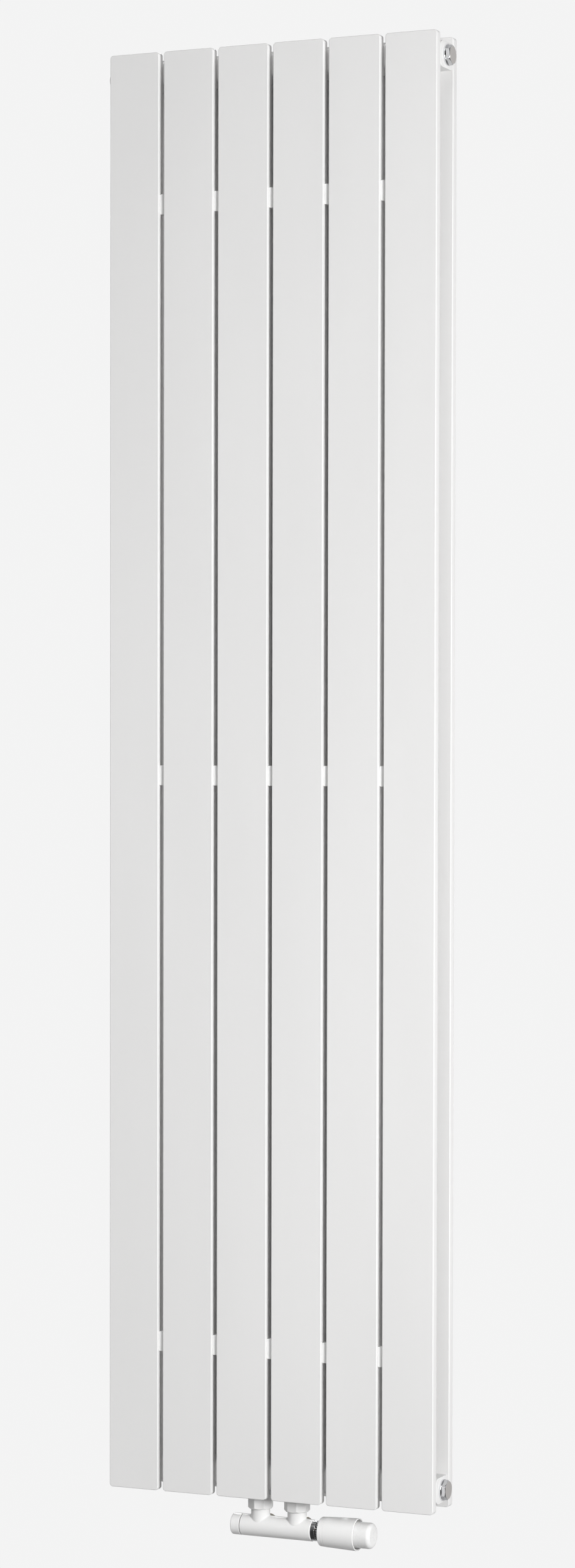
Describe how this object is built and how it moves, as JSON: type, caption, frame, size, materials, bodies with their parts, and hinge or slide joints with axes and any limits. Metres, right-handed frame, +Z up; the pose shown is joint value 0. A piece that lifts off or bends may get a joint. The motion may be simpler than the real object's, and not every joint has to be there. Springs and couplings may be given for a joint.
{
  "type": "radiator with valve",
  "caption": "White vertical flat-tube radiator in two layers, with end plugs, air vent, wall brackets and a central valve block with thermostatic head.",
  "frame": {"origin": "centre of the four wall screws, on the wall plane behind the radiator", "axes": "+X to the right as seen from the room, -Y to the room, +Y into the wall, +Z up"},
  "size_m": [0.4611, 0.1, 1.8597],
  "materials": {
    "white_coat": "satin-gloss powder coat on steel",
    "valve_white": "gloss white coat on cast brass",
    "head_white": "smooth gloss plastic",
    "white_plastic": "satin moulded plastic",
    "grey_plastic": "matt moulded plastic",
    "chrome": "polished chrome plate",
    "nickel": "nickel plate, turned",
    "brass": "turned brass",
    "stainless": "ground stainless steel",
    "spring_steel": "drawn spring wire",
    "zinc": "zinc-plated steel",
    "rubber": "black EPDM rubber"
  },
  "bodies": {
    "radiator": {"front_panel_1": "white_coat", "front_panel_2": "white_coat", "front_panel_3": "white_coat", "front_panel_4": "white_coat", "front_panel_5": "white_coat", "front_panel_6": "white_coat", "rear_panel_1": "white_coat", "rear_panel_2": "white_coat", "rear_panel_3": "white_coat", "rear_panel_4": "white_coat", "rear_panel_5": "white_coat", "rear_panel_6": "white_coat", "top_collector": "white_coat", "bottom_collector": "white_coat", "collector_bushes": "white_coat", "connection_nipples": "zinc", "flow_baffle": "zinc", "front_spacers": "white_plastic", "rear_spacers": "white_plastic", "blind_plugs": "chrome", "plug_seals": "rubber", "vent_plug": "chrome", "hanger_lugs": "white_coat", "wall_brackets": "zinc", "bracket_liners": "grey_plastic", "valve_body": "valve_white", "union_tails": "nickel", "union_gaskets": "rubber", "valve_insert": "brass", "insert_seal": "rubber", "insert_collar": "chrome", "pin_spring": "spring_steel", "pin_seal": "rubber", "head_base": "white_plastic", "wheel_clip": "spring_steel"},
    "flow_nut": {"flow_union_nut": "valve_white"},
    "return_nut": {"return_union_nut": "valve_white"},
    "lockshield_cap": {"lockshield_cap": "valve_white"},
    "lockshield_spindle": {"lockshield_spindle": "brass", "lockshield_seal": "rubber"},
    "valve_spindle": {"valve_pin": "stainless", "valve_disc": "rubber"},
    "clamp_nut": {"head_nut": "chrome"},
    "sensor": {"sensor_cartridge": "brass", "pusher": "white_plastic", "overtravel_spring": "spring_steel"},
    "handwheel": {"head_sleeve": "head_white", "head_cap": "head_white"},
    "vent_ring": {"vent_outlet_ring": "white_plastic"},
    "bleed_screw": {"bleed_screw": "brass"}
  },
  "joints": [
    {"name": "handwheel_turn", "type": "hinge", "parent": "radiator", "child": "handwheel", "pos_m": [0.0834, -0.067, -0.9395], "axis": [1, 0, 0], "range_deg": [0, 300]},
    {"name": "sensor_travel", "type": "slide", "parent": "radiator", "child": "sensor", "axis": [1, 0, 0], "range_m": [0, 0.00252]},
    {"name": "pin_travel", "type": "slide", "parent": "radiator", "child": "valve_spindle", "axis": [1, 0, 0], "range_m": [0, 0.00252], "deforming": ["pin_spring"]},
    {"name": "flow_nut_turn", "type": "hinge", "parent": "radiator", "child": "flow_nut", "pos_m": [0.025, -0.067, -0.90775], "axis": [0, 0, 1], "continuous": true},
    {"name": "return_nut_turn", "type": "hinge", "parent": "radiator", "child": "return_nut", "pos_m": [-0.025, -0.067, -0.90775], "axis": [0, 0, 1], "continuous": true},
    {"name": "clamp_nut_turn", "type": "hinge", "parent": "radiator", "child": "clamp_nut", "pos_m": [0.061, -0.067, -0.9395], "axis": [1, 0, 0], "continuous": true},
    {"name": "lockshield_cap_off", "type": "slide", "parent": "radiator", "child": "lockshield_cap", "axis": [-1, 0, 0], "range_m": [0, 0.02]},
    {"name": "lockshield_turn", "type": "hinge", "parent": "radiator", "child": "lockshield_spindle", "pos_m": [-0.0378, -0.067, -0.9395], "axis": [1, 0, 0], "range_deg": [0, 1080]},
    {"name": "vent_ring_turn", "type": "hinge", "parent": "radiator", "child": "vent_ring", "pos_m": [-0.2302, -0.067, 0.874], "axis": [-1, 0, 0], "continuous": true},
    {"name": "bleed_turn", "type": "hinge", "parent": "radiator", "child": "bleed_screw", "pos_m": [-0.228, -0.067, 0.874], "axis": [-1, 0, 0], "range_deg": [0, 540]}
  ],
  "couplings": [
    {"joint": "sensor_travel", "follows": "handwheel_turn", "m_per_rad": 0.00047746},
    {"joint": "pin_travel", "follows": "handwheel_turn", "m_per_rad": 0.00047746}
  ]
}
